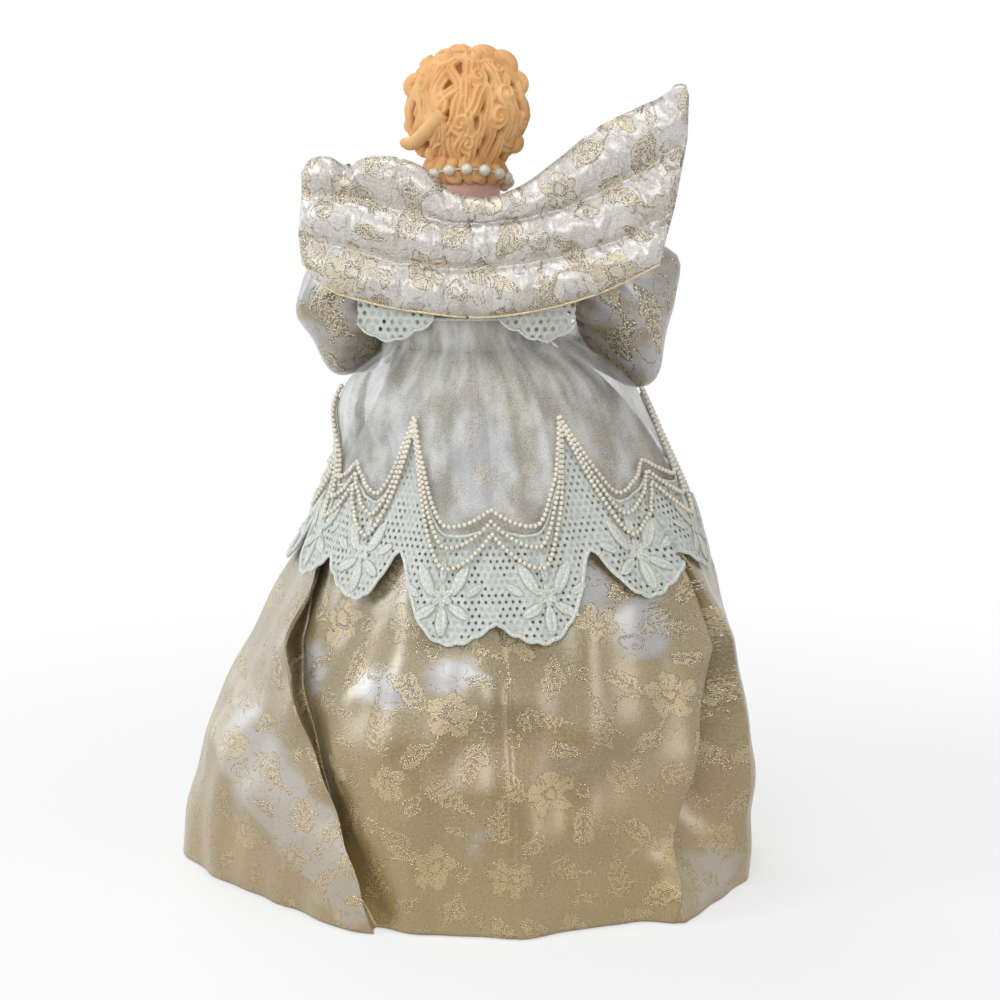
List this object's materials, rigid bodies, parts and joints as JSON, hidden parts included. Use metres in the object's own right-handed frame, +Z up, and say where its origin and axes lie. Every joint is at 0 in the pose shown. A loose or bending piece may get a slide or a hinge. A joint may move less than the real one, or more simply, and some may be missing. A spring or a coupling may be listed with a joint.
{
  "type": "angel tree topper",
  "caption": "Angel doll tree topper in gold brocade with a lace-edged overskirt, quilted wings, a turning head and posable wire arms, on a hollow cone that slips over a treetop.",
  "frame": {"origin": "on the floor under the middle of the skirt's hem, which is also the axis of the cone", "axes": "+Z up along the cone's axis, -Y the way the angel's chest faces, +X towards the angel's left arm"},
  "size_m": [0.216, 0.1824, 0.3053],
  "materials": {
    "brocade": "champagne-gold jacquard satin",
    "organza": "sheer, slightly glossy",
    "lace": "matte corded lace",
    "pearl": "pearlescent",
    "skin": "painted resin",
    "hair": "painted resin",
    "cardboard": "kraft card",
    "foam": "white foam",
    "dowel": "bare birch",
    "wire": "bright steel wire"
  },
  "bodies": {
    "root": {"tree_cone": "cardboard", "torso_form": "foam", "neck_dowel": "dowel", "shoulder_plate": "skin", "necklace": "pearl", "bodice": "brocade", "skirt": "brocade", "overlay": "organza", "overlay_lace": "lace", "pearl_swags_upper": "pearl", "pearl_swags_lower": "pearl", "wing_centre": "brocade", "left_collar_lace": "lace", "right_collar_lace": "lace"},
    "head": {"head": "skin", "hair": "hair"},
    "left_wing": {"left_wing": "brocade", "left_wing_wire": "wire"},
    "right_wing": {"right_wing": "brocade", "right_wing_wire": "wire"},
    "left_arm": {"left_sleeve": "brocade", "left_arm_wire": "wire", "left_cuff": "lace", "left_hand": "skin"},
    "right_arm": {"right_sleeve": "brocade", "right_arm_wire": "wire", "right_cuff": "lace", "right_hand": "skin"}
  },
  "joints": [
    {"name": "head_turn", "type": "hinge", "parent": "root", "child": "head", "pos_m": [0, 0, 0.2529], "axis": [0, 0, 1], "range_deg": [-75, 15]},
    {"name": "left_wing_bend", "type": "hinge", "parent": "root", "child": "left_wing", "pos_m": [0.016, 0.042, 0.236], "axis": [0, 0, 1], "range_deg": [-10, 35]},
    {"name": "right_wing_bend", "type": "hinge", "parent": "root", "child": "right_wing", "pos_m": [-0.016, 0.042, 0.236], "axis": [0, 0, -1], "range_deg": [-10, 35]},
    {"name": "left_arm_swing", "type": "hinge", "parent": "root", "child": "left_arm", "pos_m": [0.031, 0, 0.2263], "axis": [-1, 0, 0], "range_deg": [-5, 50]},
    {"name": "right_arm_swing", "type": "hinge", "parent": "root", "child": "right_arm", "pos_m": [-0.031, 0, 0.2263], "axis": [-1, 0, 0], "range_deg": [-5, 50]}
  ]
}
